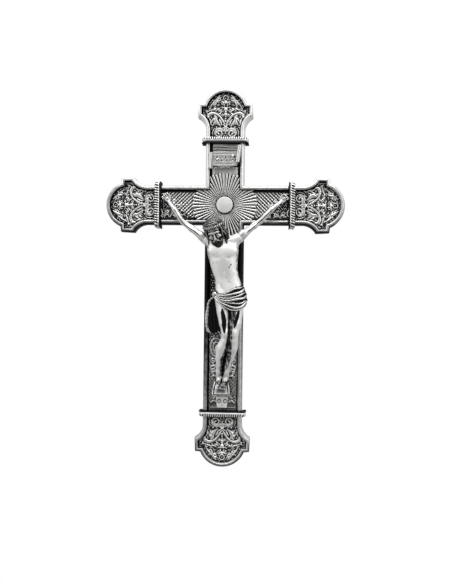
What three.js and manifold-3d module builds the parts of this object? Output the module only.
// A hanging crucifix in cast metal, 438 mm tall: a molded cross frame with relief panels, rope
// collars, a sunburst, a title scroll and a corpus, closed behind by a screwed back plate.
// Millimetres. X is to the viewer's right, Z is up, and the back plate's rear face is Y = 0.
// "Front" below is a distance in front of that face, so a point there has Y = -front.
import * as THREE from 'three';
import { mergeVertices } from 'three/addons/utils/BufferGeometryUtils.js';
import Module from 'manifold-3d';

const wasm = await Module();
wasm.setup();

// ---------- Driving dimensions ----------
const TOP_REACH = 135.5; // hub to the tip of each arm
const SIDE_REACH = 138.5;
const FOOT_REACH = 302.5;
const BAR_HALF = 22.5; // half of a bar's width, outside and inside its molding
const FIELD_HALF = 16.9;
const GAP = 0.3; // between touching pieces
const TOP_COLLAR = 75; // hub to the centre of each collar's rope
const SIDE_COLLAR = 78;
const FOOT_COLLAR = 241.8;

// Depths in front of the rear face
const PLATE_THICK = 1.5;
const LEDGE = PLATE_THICK + GAP; // the back plate rests here
const WEB_REAR = 8;
const WEB_FRONT = 10;
const PANEL_REAR = WEB_FRONT + GAP;
const PANEL_FACE = PANEL_REAR + 2;
const SIDE_FRONT = 13; // where the outer side turns into the bevel
const CREST = 17;

// ---------- Materials ----------
function metal(color, roughness) {
  return new THREE.MeshStandardMaterial({ color, roughness, metalness: 1 });
}
const agedSilver = metal(0x9b9a98, 0.38);
const paleSilver = metal(0xc9c8c5, 0.3);
const brightSilver = metal(0xe2e1de, 0.22);
const darkSilver = metal(0x5c5b5a, 0.5);
const zincSteel = metal(0xa9adb0, 0.45);

// ---------- Shape helpers ----------
const point = (x, front, z) => new THREE.Vector3(x, -front, z);

function solidOf(geometry) {
  const bare = new THREE.BufferGeometry().setAttribute('position', geometry.getAttribute('position'));
  if (geometry.index) bare.setIndex(geometry.index);
  const merged = mergeVertices(bare, 1e-4);
  const triVerts = new Uint32Array(merged.index.array);
  const vertProperties = merged.attributes.position.array;
  return new wasm.Manifold(new wasm.Mesh({ numProp: 3, vertProperties, triVerts }));
}

function geometryOf(solid) {
  const { vertProperties, triVerts } = solid.getMesh();
  const geometry = new THREE.BufferGeometry();
  geometry.setAttribute('position', new THREE.BufferAttribute(new Float32Array(vertProperties), 3));
  geometry.setIndex(new THREE.BufferAttribute(new Uint32Array(triVerts), 1));
  geometry.computeVertexNormals();
  return geometry;
}

const join = (solids) => solids.reduce((a, b) => a.add(b));
const cut = (solid, tools) => tools.reduce((a, b) => a.subtract(b), solid);

// A flat shape in X and Z, thickened from one depth to another.
function plate(outline, rear, front, holes = []) {
  const shape = new THREE.Shape(outline);
  shape.holes = holes.map((hole) => new THREE.Path(hole));
  const geometry = new THREE.ExtrudeGeometry(shape, { depth: front - rear, bevelEnabled: false });
  return solidOf(geometry.translate(0, 0, rear).rotateX(Math.PI / 2));
}

// A round pin along Y. Its profile is a list of [radius, depth], from the rear to the front.
function turned(profile, x, z, sides = 16) {
  const points = profile.map(([radius, depth]) => new THREE.Vector2(radius, depth));
  return solidOf(new THREE.LatheGeometry(points, sides).rotateX(Math.PI).translate(x, 0, z));
}

function pin(radius, rear, front, x, z, sides = 16) {
  return turned([[0, rear], [radius, rear], [radius, front], [0, front]], x, z, sides);
}

// Skin over a list of rings with equal point counts, closed at both ends, or joined end to start.
function loft(rings, closed = false) {
  const count = rings[0].length;
  const positions = rings.flat().flatMap((p) => [p.x, p.y, p.z]);
  const faces = [];
  const spans = closed ? rings.length : rings.length - 1;
  for (let i = 0; i < spans; i += 1) {
    const a = i * count;
    const b = ((i + 1) % rings.length) * count;
    for (let j = 0; j < count; j += 1) {
      const k = (j + 1) % count;
      faces.push(a + j, a + k, b + k, a + j, b + k, b + j);
    }
  }
  if (!closed) {
    const last = (rings.length - 1) * count;
    for (let j = 1; j < count - 1; j += 1) {
      faces.push(0, j + 1, j, last, last + j, last + j + 1);
    }
  }
  const geometry = new THREE.BufferGeometry();
  geometry.setAttribute('position', new THREE.Float32BufferAttribute(positions, 3));
  geometry.setIndex(faces);
  const made = solidOf(geometry);
  if (made.volume() > 0) return made;
  for (let i = 0; i < faces.length; i += 3) [faces[i + 1], faces[i + 2]] = [faces[i + 2], faces[i + 1]];
  geometry.setIndex(faces);
  return solidOf(geometry);
}

// A limb through stations [x, front, z, half width, half depth], its rings square to its path.
function limb(stations, grow = 0, sides = 12) {
  const centres = stations.map(([x, front, z]) => point(x, front, z));
  const rings = stations.map(([, , , halfWidth, halfDepth = halfWidth], i) => {
    const before = centres[Math.max(i - 1, 0)];
    const after = centres[Math.min(i + 1, centres.length - 1)];
    const along = after.clone().sub(before).normalize();
    const across = new THREE.Vector3(0, -1, 0).cross(along).normalize();
    const out = along.clone().cross(across).normalize();
    return Array.from({ length: sides }, (_, j) => {
      const angle = (2 * Math.PI * j) / sides;
      return centres[i].clone()
        .addScaledVector(across, (halfWidth + grow) * Math.cos(angle))
        .addScaledVector(out, (halfDepth + grow) * Math.sin(angle));
    });
  });
  return loft(rings);
}

// ---------- Outline of the cross ----------
// Half of an arm's end, as [half width, distance from the tip], from the bar to the tip. The same
// number of points outside and inside the molding lets the rings between be blended from them.
const FLARE_STEPS = 5;
const LOBE_STEPS = 8;
const FLARE_START = 48.5; // from the tip
const FLARE_CENTRE = 40; // from the bar's middle
const LOBE_CENTRE = 27.3; // from the tip
const INNER_LOBE_RADIUS = 22;

function halfEnd({ barHalf, flareAngle, ear, lobeRadius, lobeHalf }) {
  const flareRadius = FLARE_CENTRE - barHalf;
  const flare = Array.from({ length: FLARE_STEPS + 1 }, (_, i) => {
    const angle = (flareAngle * i) / FLARE_STEPS;
    return [FLARE_CENTRE - flareRadius * Math.cos(angle), FLARE_START - flareRadius * Math.sin(angle)];
  });
  const spread = Math.asin(lobeHalf / lobeRadius);
  const lobe = Array.from({ length: LOBE_STEPS }, (_, i) => {
    const angle = spread * (1 - i / LOBE_STEPS);
    return [lobeRadius * Math.sin(angle), LOBE_CENTRE - lobeRadius * Math.cos(angle)];
  });
  return [...flare, ear, ...lobe];
}

const OUTER_END = halfEnd({
  barHalf: BAR_HALF, flareAngle: 1.096, ear: [31.2, 17.5], lobeRadius: LOBE_CENTRE, lobeHalf: 25.2,
});
const INNER_END = halfEnd({
  barHalf: FIELD_HALF, flareAngle: 0.988, ear: [27.2, 22.2], lobeRadius: INNER_LOBE_RADIUS, lobeHalf: 21.4,
});

// Each arm: its direction outwards in X and Z, its reach, and its collar's place.
const ARMS = {
  right: { out: new THREE.Vector2(1, 0), reach: SIDE_REACH, collar: SIDE_COLLAR },
  top: { out: new THREE.Vector2(0, 1), reach: TOP_REACH, collar: TOP_COLLAR },
  left: { out: new THREE.Vector2(-1, 0), reach: SIDE_REACH, collar: SIDE_COLLAR },
  bottom: { out: new THREE.Vector2(0, -1), reach: FOOT_REACH, collar: FOOT_COLLAR },
};

const onArm = ({ out }, along, across) => new THREE.Vector2(
  out.x * along + out.y * across,
  out.y * along - out.x * across,
);

// The end of an arm at a share of the way from the outer edge (0) to the inner (1), side to side.
function armEnd(arm, share) {
  const half = OUTER_END.map(([w, t], i) => [
    THREE.MathUtils.lerp(w, INNER_END[i][0], share),
    THREE.MathUtils.lerp(t, INNER_END[i][1], share),
  ]);
  const tip = share * (LOBE_CENTRE - INNER_LOBE_RADIUS);
  return [
    ...half.map(([w, t]) => onArm(arm, arm.reach - t, w)),
    onArm(arm, arm.reach - tip, 0),
    ...half.toReversed().map(([w, t]) => onArm(arm, arm.reach - t, -w)),
  ];
}

function crossOutline(share) {
  const corner = THREE.MathUtils.lerp(BAR_HALF, FIELD_HALF, share);
  return Object.values(ARMS).flatMap((arm) => [onArm(arm, corner, corner), ...armEnd(arm, share)]);
}

const ringAt = (share, front) => crossOutline(share).map((p) => point(p.x, front, p.y));

// ---------- Fastener places ----------
const SCREW_HOLES = {
  top: [0, TOP_REACH - 27],
  left: [-(SIDE_REACH - 27), 0],
  right: [SIDE_REACH - 27, 0],
  bottom: [0, -(FOOT_REACH - 27)],
  shaft_upper: [0, -62],
  shaft_lower: [0, -195],
};
const STUD_RADIUS = 2;
const BODY_STUD = [6, -104]; // behind the hips
const HANGER = { x: 0, z: 46, entry: 4.6, slot: 2.3, rise: 9 };
const HAND_NAILS = { left: [-66.5, 6.5], right: [69, 7] };
const FOOT_NAILS = { left: [-5.5, -202], right: [4.5, -202] };
const NAIL_RADIUS = 0.9;
const TITLE_PINS = { left: [-9, 52], right: [9, 56] };
const FOOTREST_Z = -199; // where the footrest meets the panel
const BRACKET_RIVETS = { left: [-3.4, -226], right: [3.4, -226] };
const PIN_REAR = 5.6; // the nails, pins and rivets go through the web to here

const pinHoles = (rear, front) => [HAND_NAILS, FOOT_NAILS, TITLE_PINS, BRACKET_RIVETS]
  .flatMap((pair) => Object.values(pair))
  .map(([x, z]) => pin(NAIL_RADIUS + GAP, rear, front, x, z, 8));

// ---------- Cross frame ----------
function crossFrame() {
  const molding = loft([
    ringAt(0, 0), ringAt(0, SIDE_FRONT), ringAt(0.42, CREST), ringAt(0.6, CREST), ringAt(1, WEB_FRONT),
    ringAt(1, WEB_REAR), ringAt(0.95, LEDGE), ringAt(0.5, LEDGE), ringAt(0.5, 0),
  ], true);
  const web = plate(crossOutline(0.9), WEB_REAR, WEB_FRONT);
  const bosses = Object.values(SCREW_HOLES).map(([x, z]) => pin(4, LEDGE, WEB_REAR + 0.5, x, z));
  const pilots = Object.values(SCREW_HOLES).map(([x, z]) => pin(1.7, LEDGE - 1, 7, x, z, 12));
  const studHoles = [[0, 0], BODY_STUD].map(([x, z]) => pin(STUD_RADIUS + GAP, 5, 12, x, z));
  return cut(join([molding, web, ...bosses]), [...pilots, ...studHoles, ...pinHoles(5, 12)]);
}

// ---------- Back plate, hanger and their screws ----------
const HANGER_WINDOW = [13, 22]; // width and height
const HANGER_RIVETS = { left: [-11, 48], right: [11, 48] };
const HANGER_REAR = LEDGE + GAP;

function rectangle(x, z, width, height) {
  const [w, h] = [width / 2, height / 2];
  return [[x - w, z - h], [x + w, z - h], [x + w, z + h], [x - w, z + h]]
    .map(([a, b]) => new THREE.Vector2(a, b));
}

function backPlate() {
  const window = plate(rectangle(HANGER.x, HANGER.z + 3, ...HANGER_WINDOW), -1, 3);
  const sinks = Object.values(SCREW_HOLES).map(([x, z]) => turned(
    [[0, -1], [3.3, -1], [3.3, 0.3], [2, PLATE_THICK + 0.2], [0, PLATE_THICK + 0.2]], x, z, 12,
  ));
  const rivetHoles = Object.values(HANGER_RIVETS).map(([x, z]) => pin(1.8, -1, 3, x, z, 12));
  return cut(plate(crossOutline(0.56), 0, PLATE_THICK), [window, ...sinks, ...rivetHoles]);
}

function backScrew(x, z) {
  return turned([[0, 0.2], [2.9, 0.2], [1.4, PLATE_THICK + 0.1], [1.4, 6.2], [0, 6.8]], x, z, 12);
}

function hangerPlate() {
  const { x, z, entry, slot, rise } = HANGER;
  const keyhole = join([
    pin(entry, 0, 6, x, z, 24), pin(slot, 0, 6, x, z + rise, 16),
    plate(rectangle(x, z + rise / 2, 2 * slot, rise), 0, 6),
  ]);
  const rivetHoles = Object.values(HANGER_RIVETS).map(([a, b]) => pin(1.8, 0, 6, a, b, 12));
  return cut(plate(rectangle(x, z + 3, 30, 34), HANGER_REAR, HANGER_REAR + 1.6), [keyhole, ...rivetHoles]);
}

const hangerRivet = (x, z) => turned(
  [[0, 0.2], [1.5, 0.2], [1.5, 4], [2.6, 4], [1.8, 5], [0, 5.3]], x, z, 12,
);

// ---------- Panels ----------
function endPanel(arm) {
  const start = arm.collar + 0.6;
  const ends = armEnd(arm, 1.06);
  const half = FIELD_HALF - 0.35;
  return plate([onArm(arm, start, half), ...ends, onArm(arm, start, -half)], PANEL_REAR, PANEL_FACE);
}

function barPanel(arm) {
  const [start, end, half] = [FIELD_HALF + GAP, arm.collar, FIELD_HALF - 0.35];
  const corners = [[start, half], [end, half], [end, -half], [start, -half]]
    .map(([along, across]) => onArm(arm, along, across));
  const studHole = pin(STUD_RADIUS + GAP, 8, 16, ...BODY_STUD);
  return cut(plate(corners, PANEL_REAR, PANEL_FACE), [...pinHoles(8, 16), studHole]);
}

// ---------- Collars ----------
// Half of the flange's section, as [across, front]: its outside, and its inside, which drops
// between the moldings to the panels.
const FLANGE_OUTSIDE = [[27.3, 0.6], [27.3, 16], [23.6, 21.6]];
const FLANGE_INSIDE = [
  [22.85, 0.6], [22.85, 13.2], [20.5, CREST + 0.35], [18.6, CREST + 0.35], [17.1, PANEL_FACE + GAP],
];
const SEAT = [[17, PANEL_FACE + GAP], [18.4, CREST - 0.2]];

const mirrored = (half) => half.toReversed().map(([across, front]) => [-across, front]);

// Extrudes a section from one distance along an arm to another.
function barSlice({ out }, near, far, section) {
  const shape = new THREE.Shape(section.map(([across, front]) => new THREE.Vector2(across, front)));
  const geometry = new THREE.ExtrudeGeometry(shape, { depth: far - near, bevelEnabled: false });
  const basis = new THREE.Matrix4().makeBasis(
    new THREE.Vector3(-out.y, 0, out.x),
    new THREE.Vector3(0, -1, 0),
    new THREE.Vector3(out.x, 0, out.y),
  );
  return solidOf(geometry.translate(0, 0, near).applyMatrix4(basis));
}

function collarBand(arm) {
  const at = arm.collar;
  const ring = [...FLANGE_OUTSIDE, ...mirrored(FLANGE_OUTSIDE)];
  const opening = [...mirrored(FLANGE_INSIDE).toReversed(), ...FLANGE_INSIDE.toReversed()];
  const flange = barSlice(arm, at - 4, at - 2.3, [...ring, ...opening]);
  return flange.add(barSlice(arm, at - 2.4, at + 2, [...SEAT, ...mirrored(SEAT)]));
}

const ROPE_RADIUS = 2.1;
const ROPE_PATH = [[25.1, 1], [25.1, 15], [24.4, 17.6], [21.8, 19.5]];

function collarRope(arm) {
  const at = arm.collar;
  const path = [...ROPE_PATH, ...ROPE_PATH.toReversed().map(([w, d]) => [-w, d])];
  const outward = new THREE.Vector3(arm.out.x, 0, arm.out.y);
  const centres = path.map(([w, d]) => {
    const p = onArm(arm, at, w);
    return point(p.x, d, p.y);
  });
  const rings = centres.map((centre, i) => {
    const before = centres[Math.max(i - 1, 0)];
    const after = centres[Math.min(i + 1, centres.length - 1)];
    const across = after.clone().sub(before).normalize().cross(outward);
    return Array.from({ length: 10 }, (_, j) => {
      const angle = (2 * Math.PI * j) / 10;
      return centre.clone()
        .addScaledVector(outward, ROPE_RADIUS * Math.cos(angle))
        .addScaledVector(across, ROPE_RADIUS * Math.sin(angle));
    });
  });
  return loft(rings);
}

// ---------- Sunburst ----------
const RAY_COUNT = 56;
const RAY_REACH = 39;
const BOSS_RADIUS = 9.5;
const RAY_REAR = PANEL_FACE + GAP;

// Rays and grooves alternate. Each stops at its reach or at the molding's foot, whichever is nearer.
function sunburstPlate() {
  const ring = (radiusAt, frontAt) => Array.from({ length: RAY_COUNT * 2 }, (_, i) => {
    const angle = (Math.PI * i) / RAY_COUNT;
    const [c, s] = [Math.cos(angle), Math.sin(angle)];
    const wall = (FIELD_HALF - 0.1) / Math.min(Math.abs(c), Math.abs(s));
    const radius = Math.min(radiusAt(i % 2), wall);
    return point(radius * c, RAY_REAR + frontAt(i % 2), radius * s);
  });
  const reach = (groove) => RAY_REACH - 1.2 * groove;
  const rays = loft([
    ring(() => 5, () => 0),
    ring(reach, () => 0),
    ring(reach, (groove) => (groove ? 0.5 : 1.9)),
    ring(() => 5, () => 1.2),
  ]);
  return rays.subtract(pin(STUD_RADIUS + GAP, 5, 20, 0, 0));
}

const BOSS_REAR = RAY_REAR + 2.2;
const sunburstBoss = () => turned([
  [0, 2.4], [STUD_RADIUS, 2.4], [STUD_RADIUS, BOSS_REAR], [BOSS_RADIUS, BOSS_REAR],
  [BOSS_RADIUS, BOSS_REAR + 1.6], [BOSS_RADIUS - 0.7, BOSS_REAR + 2.2], [0, BOSS_REAR + 2.2],
], 0, 0, 32);

const washer = (x, z) => pin(5, 6.8, WEB_REAR - GAP, x, z, 20).subtract(pin(STUD_RADIUS + GAP, 5, 10, x, z));
const nut = (x, z) => pin(4, 3.2, 6.5, x, z, 6).subtract(pin(STUD_RADIUS + GAP, 2, 8, x, z));

// ---------- Title scroll ----------
// A curled strip seen from above, swept upwards and sheared so that one roll stands higher.
const SCROLL = { half: 15.5, thick: 1.1, height: 15.5, low: 46, curl: 2.4, field: 19, shear: 0.2 };

function titleScroll() {
  const { half, thick, height, low, curl, field, shear } = SCROLL;
  const middle = [];
  for (let i = 0; i <= 8; i += 1) {
    const x = -half + (2 * half * i) / 8;
    middle.push([x, field + 1.6 * (1 - (x / half) ** 2)]);
  }
  const roll = [];
  for (let i = 1; i <= 9; i += 1) {
    const angle = -Math.PI / 2 + (i * Math.PI * 1.6) / 9;
    roll.push([half + curl * Math.cos(angle), field + curl + curl * Math.sin(angle)]);
  }
  const line = [...roll.toReversed().map(([x, d]) => [-x, d]), ...middle, ...roll];
  const side = (offset) => line.map(([x, d], i) => {
    const [ax, ad] = line[Math.max(i - 1, 0)];
    const [bx, bd] = line[Math.min(i + 1, line.length - 1)];
    const length = Math.hypot(bx - ax, bd - ad);
    return [x - ((bd - ad) / length) * offset, d + ((bx - ax) / length) * offset];
  });
  const section = [...side(-thick / 2), ...side(thick / 2).toReversed()];
  const shape = new THREE.Shape(section.map(([x, d]) => new THREE.Vector2(x, -d)));
  const geometry = new THREE.ExtrudeGeometry(shape, { depth: height, bevelEnabled: false });
  const lean = new THREE.Matrix4().makeShear(0, shear, 0, 0, 0, 0);
  const holes = Object.values(TITLE_PINS).map(([x, z]) => pin(NAIL_RADIUS + GAP, 15, 25, x, z, 8));
  return cut(solidOf(geometry.applyMatrix4(lean).translate(0, 0, low)), holes);
}

const titlePin = (x, z) => turned(
  [[0, PIN_REAR], [NAIL_RADIUS, PIN_REAR + 1], [NAIL_RADIUS, 21.6], [1.7, 21.6], [1.2, 22.4], [0, 22.7]], x, z, 10,
);

// ---------- Corpus ----------
// Stations are [x, front, z, half width, half depth].
const TORSO = [
  [9, 29, -119, 15, 9], [8.4, 29, -108, 18, 10.5], [7.5, 28.5, -99, 17, 10.5], [5, 28, -87, 13.8, 9.2],
  [2.5, 28.5, -72, 15.5, 10], [0, 29, -58, 18.5, 11], [-1.5, 28.5, -47, 19.5, 10.2], [-2.5, 28, -39, 12, 7],
];
const LEGS = {
  left: [[0.5, 29.5, -110, 9.5, 9.5], [0.2, 33, -130, 9, 9.2], [1.4, 35.5, -149, 6.8, 7.2],
    [-0.5, 32, -164, 7, 7], [-3.5, 26, -181, 5, 5.2], [-5.3, 21.5, -197, 3.5, 3.8]],
  right: [[16.5, 29.5, -110, 9.5, 9.5], [16.8, 33, -130, 8.8, 9.2], [15, 35.5, -149, 6.8, 7.2],
    [11.6, 32, -164, 6.8, 7], [7.4, 26, -181, 5, 5.2], [4.2, 21.5, -197, 3.5, 3.8]],
};
const FEET = {
  left: [[-5, 20, -192, 3.2, 3], [-6.5, 22.5, -204.5, 3.8, 3.2], [-9, 28.5, -211, 4.4, 2.4],
    [-10, 32.5, -215.5, 4, 1.5]],
  right: [[4.2, 20, -192, 3.2, 3], [5, 22.5, -204.5, 3.8, 3.2], [6.8, 28.5, -211, 4.4, 2.4],
    [7.4, 32.5, -215.5, 4, 1.5]],
};
const WRAP = [
  [8, 29, -126, 17.5, 11.5], [8.6, 29, -118, 19.2, 12.2], [8.4, 29, -108, 19.6, 12], [7.4, 28.5, -99, 18, 11],
];
const CORPUS_ARMS = {
  left: [[-14, 28, -45, 6, 6], [-22, 27.5, -40.5, 4.8, 4.8], [-35, 26, -31, 3.7, 3.7],
    [-48.5, 24.2, -19.5, 3.2, 3.2], [-56, 22.5, -9.5, 3.4, 3], [-63.5, 19.2, 1, 1.9, 1.9],
    [-66.5, 17.8, 6.5, 3.1, 1.6], [-71.5, 18.4, 11.5, 2.6, 1.6]],
  right: [[10, 28, -43, 6, 6], [18, 27.5, -37.5, 4.8, 4.8], [31, 26, -28.5, 3.7, 3.7],
    [43.5, 24.2, -18.5, 3.2, 3.2], [54, 22.5, -8.5, 3.4, 3], [65.5, 19.2, 2, 1.9, 1.9],
    [68.6, 17.8, 6.8, 3.1, 1.6], [71.6, 18.4, 10.8, 2.2, 1.6]],
};
const NECK = [[-3, 28.5, -44, 6, 6], [-5.5, 31.5, -39, 5.6, 5.6], [-9, 35, -32, 6, 6]];
const HEAD = [
  [-4.2, 41.5, -50, 2, 2], [-5.5, 41, -46, 4.5, 4.5], [-8, 39.5, -39, 8.2, 8.2], [-10.8, 37.5, -30, 10.4, 10.6],
  [-12.6, 36, -23.5, 10.2, 10.6], [-14, 34.8, -18, 7, 7.5], [-14.6, 34.2, -15.2, 2.5, 2.5],
];
const CROWN_RINGS = 20;
const CROWN = { centre: [-12.4, 36.6, -23], radius: 11.3, thick: 1.5, lean: [-0.28, 0.42] };

function crown(grow = 0) {
  const tilt = new THREE.Euler(CROWN.lean[1], CROWN.lean[0], 0, 'XYZ');
  const ring = new THREE.TorusGeometry(CROWN.radius, CROWN.thick + grow, 8, CROWN_RINGS);
  ring.applyMatrix4(new THREE.Matrix4().makeRotationFromEuler(tilt));
  return solidOf(ring.translate(...point(...CROWN.centre).toArray()));
}

const armLimb = (side, grow = 0) => limb(CORPUS_ARMS[side], grow);
const neckAndHead = (grow = 0) => join([limb(NECK, grow), limb(HEAD, grow, 14)]);

function corpusBody() {
  const parts = [
    limb(TORSO, 0, 16), limb(WRAP, 0, 16), ...Object.values(LEGS).map((s) => limb(s)),
    ...Object.values(FEET).map((s) => limb(s)),
  ];
  const nailHoles = Object.values(FOOT_NAILS).map(([x, z]) => pin(NAIL_RADIUS + GAP, 5, 40, x, z, 8));
  return cut(join(parts), [
    armLimb('left', GAP), armLimb('right', GAP), neckAndHead(GAP), ...nailHoles,
    pin(STUD_RADIUS + GAP, 10, 26, ...BODY_STUD),
  ]);
}

function corpusArm(side) {
  return cut(armLimb(side), [pin(NAIL_RADIUS + GAP, 5, 40, ...HAND_NAILS[side], 8)]);
}

function corpusHead() {
  return cut(neckAndHead(), [crown(GAP), armLimb('left', GAP), armLimb('right', GAP)]);
}

// The loose end of the loincloth hangs beside the right thigh.
const DRAPE = [
  [-9, -103], [-13, -104.5], [-16, -115], [-19, -128], [-19.5, -136], [-17, -145], [-4, -147], [-2, -108],
];

function loinclothDrape() {
  const outline = DRAPE.map(([x, z]) => new THREE.Vector2(x, z)).toReversed();
  const clear = [limb(TORSO, GAP, 16), limb(WRAP, GAP, 16), limb(LEGS.left, GAP)];
  return cut(plate(outline, 19.5, 24.5), clear);
}

const nail = (x, z, head) => turned([
  [0, PIN_REAR], [NAIL_RADIUS, PIN_REAR + 1], [NAIL_RADIUS, head], [1.9, head], [1.3, head + 1], [0, head + 1.3],
], x, z, 8);

const bodyStud = () => pin(STUD_RADIUS, 2.4, 25.5, ...BODY_STUD);

// ---------- Footrest ----------
// A sloping shelf under the feet, with a riveted block below that carries it.
function footrest() {
  const rear = PANEL_FACE + GAP;
  const side = (w) => [
    point(w * 0.75, rear, FOOTREST_Z - 4), point(w, 34, FOOTREST_Z - 20.5), point(w, 34, FOOTREST_Z - 23),
    point(w * 0.75, rear, FOOTREST_Z - 20),
  ];
  const feet = Object.values(FEET).map((s) => limb(s, GAP));
  const ankles = Object.values(LEGS).map((s) => limb(s, GAP));
  const nails = Object.values(FOOT_NAILS).map(([x, z]) => pin(NAIL_RADIUS + GAP, 5, 40, x, z, 8));
  return cut(loft([side(-11.5), side(11.5)]), [...feet, ...ankles, ...nails]);
}

function footrestBracket() {
  const top = FOOTREST_Z - 23.4;
  const section = (x) => [
    point(x, PANEL_FACE + GAP, top), point(x, 21, top), point(x * 0.9, 17, top - 11.5),
    point(x * 0.9, PANEL_FACE + GAP, top - 11.5),
  ];
  const holes = Object.values(BRACKET_RIVETS).map(([x, z]) => pin(NAIL_RADIUS + GAP, 5, 40, x, z, 8));
  return cut(loft([section(-6.7), section(6.7)]), holes);
}

const bracketRivet = (x, z) => turned(
  [[0, PIN_REAR], [NAIL_RADIUS, PIN_REAR + 1], [NAIL_RADIUS, 21], [1.9, 21], [1.4, 22], [0, 22.4]], x, z, 10,
);

// ---------- Assembly ----------
const crucifix = new THREE.Group();
crucifix.name = 'crucifix';

function addPiece(name, solid, material) {
  const mesh = new THREE.Mesh(geometryOf(solid), material);
  mesh.name = name;
  crucifix.add(mesh);
}

addPiece('cross_frame', crossFrame(), paleSilver);
addPiece('back_plate', backPlate(), darkSilver);
addPiece('hanger_plate', hangerPlate(), zincSteel);
for (const [side, place] of Object.entries(HANGER_RIVETS)) {
  addPiece(`hanger_rivet_${side}`, hangerRivet(...place), zincSteel);
}
for (const [where, place] of Object.entries(SCREW_HOLES)) {
  addPiece(`back_screw_${where}`, backScrew(...place), zincSteel);
}
for (const [side, place] of Object.entries(ARMS)) {
  addPiece(`${side}_end_panel`, endPanel(place), agedSilver);
  addPiece(`${side}_bar_panel`, barPanel(place), agedSilver);
  addPiece(`${side}_collar_band`, collarBand(place), paleSilver);
  addPiece(`${side}_collar_rope`, collarRope(place), paleSilver);
}
addPiece('sunburst_plate', sunburstPlate(), paleSilver);
addPiece('sunburst_boss', sunburstBoss(), brightSilver);
addPiece('sunburst_washer', washer(0, 0), zincSteel);
addPiece('sunburst_nut', nut(0, 0), zincSteel);
addPiece('title_scroll', titleScroll(), paleSilver);
for (const [side, place] of Object.entries(TITLE_PINS)) {
  addPiece(`title_pin_${side}`, titlePin(...place), brightSilver);
}
addPiece('corpus_body', corpusBody(), brightSilver);
addPiece('corpus_head', corpusHead(), brightSilver);
addPiece('crown_of_thorns', crown(), darkSilver);
addPiece('loincloth_drape', loinclothDrape(), brightSilver);
for (const side of ['left', 'right']) {
  addPiece(`corpus_arm_${side}`, corpusArm(side), brightSilver);
  addPiece(`hand_nail_${side}`, nail(...HAND_NAILS[side], 19.9), darkSilver);
  addPiece(`foot_nail_${side}`, nail(...FOOT_NAILS[side], 25.8), darkSilver);
  addPiece(`bracket_rivet_${side}`, bracketRivet(...BRACKET_RIVETS[side]), brightSilver);
}
addPiece('corpus_stud', bodyStud(), zincSteel);
addPiece('corpus_washer', washer(...BODY_STUD), zincSteel);
addPiece('corpus_nut', nut(...BODY_STUD), zincSteel);
addPiece('footrest', footrest(), brightSilver);
addPiece('footrest_bracket', footrestBracket(), brightSilver);

export default crucifix;
